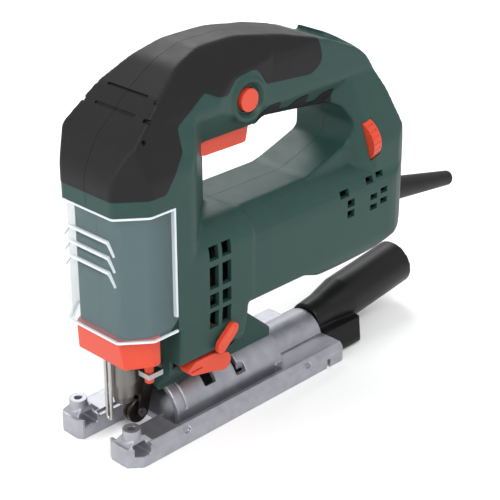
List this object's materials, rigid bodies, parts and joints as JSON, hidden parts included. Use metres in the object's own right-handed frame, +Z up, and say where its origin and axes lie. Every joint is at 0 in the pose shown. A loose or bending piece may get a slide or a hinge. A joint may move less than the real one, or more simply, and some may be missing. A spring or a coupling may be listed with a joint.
{
  "type": "corded jigsaw",
  "caption": "Corded D-handle jigsaw with tilting cast sole plate, clear chip guard, blade clamp, orbital roller, trigger, speed wheel and rear dust nozzle.",
  "frame": {"origin": "centre of the sole plate's flat underside", "axes": "+X to the rear (cord end), +Z up, -Y is the saw's own left side, with the lock button"},
  "size_m": [0.3028, 0.0679, 0.212],
  "materials": {
    "green_plastic": "fine grain",
    "black_rubber": "matte",
    "orange_plastic": "satin",
    "black_plastic": "satin",
    "clear_plastic": "clear",
    "cast_aluminium": "blasted",
    "steel": "satin",
    "dark_steel": "oiled",
    "iron": "laminated",
    "copper": "enamelled wire",
    "brass": "satin",
    "carbon": "matte"
  },
  "bodies": {
    "frame": {"housing_left": "green_plastic", "housing_right": "green_plastic", "overmould_left": "black_rubber", "overmould_right": "black_rubber", "finger_pads": "black_rubber", "housing_screws": "steel", "gear_case": "cast_aluminium", "lower_bush": "brass", "upper_bush": "brass", "gear_shaft": "steel", "front_bearing": "steel", "rear_bearing": "steel", "stator_core": "iron", "stator_coils": "copper", "brush_holders": "brass", "carbon_brushes": "carbon", "brush_springs": "steel", "switch_module": "black_plastic", "speed_control": "black_plastic", "electronics_module": "black_plastic", "cord_sleeve": "black_rubber", "cord_clamp": "black_plastic", "cord_clamp_screws": "steel", "release_bracket": "steel", "wire_guard": "steel", "fork_pin": "steel", "tilt_clamp_bolt": "steel", "trigger_spring": "steel"},
    "armature": {"armature_shaft": "steel", "armature_core": "iron", "armature_windings": "copper", "commutator": "brass", "cooling_fan": "black_plastic"},
    "crank": {"drive_gear": "steel", "crank_pin": "steel", "crank_roller": "dark_steel"},
    "plunger": {"plunger_rod": "steel", "yoke": "steel", "blade_clamp": "steel"},
    "collar": {"clamp_collar": "steel"},
    "release": {"release_lever": "orange_plastic"},
    "fork": {"orbital_fork": "dark_steel", "roller_axle": "steel"},
    "roller": {"guide_roller": "dark_steel"},
    "selector": {"orbital_selector": "orange_plastic"},
    "sole": {"sole_plate": "cast_aluminium"},
    "tilt_lever": {"tilt_clamp_lever": "orange_plastic"},
    "squeeze": {"trigger": "orange_plastic"},
    "lock": {"lock_button": "orange_plastic", "lock_spring": "steel"},
    "wheel": {"speed_wheel": "orange_plastic"},
    "guard": {"chip_guard": "clear_plastic"},
    "nozzle": {"dust_nozzle": "black_plastic"}
  },
  "joints": [
    {"name": "armature_spin", "type": "hinge", "parent": "frame", "child": "armature", "pos_m": [0, 0, 0.0935], "axis": [1, 0, 0], "continuous": true},
    {"name": "gear_spin", "type": "hinge", "parent": "frame", "child": "crank", "pos_m": [0, 0, 0.1159], "axis": [1, 0, 0], "continuous": true},
    {"name": "plunger_slide", "type": "slide", "parent": "frame", "child": "plunger", "axis": [0, 0, 1], "range_m": [0, 0.022]},
    {"name": "collar_turn", "type": "hinge", "parent": "plunger", "child": "collar", "pos_m": [-0.061, 0, 0.04], "axis": [0, 0, 1], "range_deg": [0, 25]},
    {"name": "release_lever_swing", "type": "hinge", "parent": "frame", "child": "release", "pos_m": [-0.057, -0.017, 0.055], "axis": [0, 0, 1], "range_deg": [0, 35], "stiffness_Nm_per_rad": 0.1},
    {"name": "orbital_fork_rock", "type": "hinge", "parent": "frame", "child": "fork", "pos_m": [-0.042, 0, 0.047], "axis": [0, 1, 0], "range_deg": [0, 4], "stiffness_Nm_per_rad": 0.5},
    {"name": "guide_roller_spin", "type": "hinge", "parent": "fork", "child": "roller", "pos_m": [-0.0526, 0, 0.0118], "axis": [0, 1, 0], "continuous": true},
    {"name": "orbital_selector_turn", "type": "hinge", "parent": "frame", "child": "selector", "pos_m": [-0.0145, 0, 0.054], "axis": [0, 1, 0], "range_deg": [0, 90]},
    {"name": "base_tilt", "type": "hinge", "parent": "frame", "child": "sole", "pos_m": [0, 0, 0.0072], "axis": [1, 0, 0], "range_deg": [-45, 45]},
    {"name": "tilt_clamp_turn", "type": "hinge", "parent": "frame", "child": "tilt_lever", "pos_m": [-0.013, 0, 0.037], "axis": [0, -1, 0], "range_deg": [0, 45]},
    {"name": "trigger_squeeze", "type": "hinge", "parent": "frame", "child": "squeeze", "pos_m": [-0.0055, 0, 0.1665], "axis": [0, -1, 0], "range_deg": [0, 8], "stiffness_Nm_per_rad": 1, "springref_deg": -5.73, "deforming": ["trigger_spring"]},
    {"name": "lock_button_press", "type": "slide", "parent": "frame", "child": "lock", "axis": [0, 1, 0], "range_m": [0, 0.003], "stiffness_N_per_m": 150, "springref_m": -0.003},
    {"name": "speed_wheel_turn", "type": "hinge", "parent": "frame", "child": "wheel", "pos_m": [0.1075, -0.017, 0.1315], "axis": [0.9751, 0, 0.2215], "range_deg": [0, 300]},
    {"name": "chip_guard_pull", "type": "slide", "parent": "frame", "child": "guard", "axis": [-1, 0, 0], "range_m": [0, 0.035]},
    {"name": "dust_nozzle_pull", "type": "slide", "parent": "sole", "child": "nozzle", "axis": [1, 0, 0], "range_m": [0, 0.03]}
  ],
  "couplings": [
    {"joint": "gear_spin", "follows": "armature_spin", "ratio": -0.16667},
    {"joint": "collar_turn", "follows": "release_lever_swing", "ratio": 0.7}
  ]
}
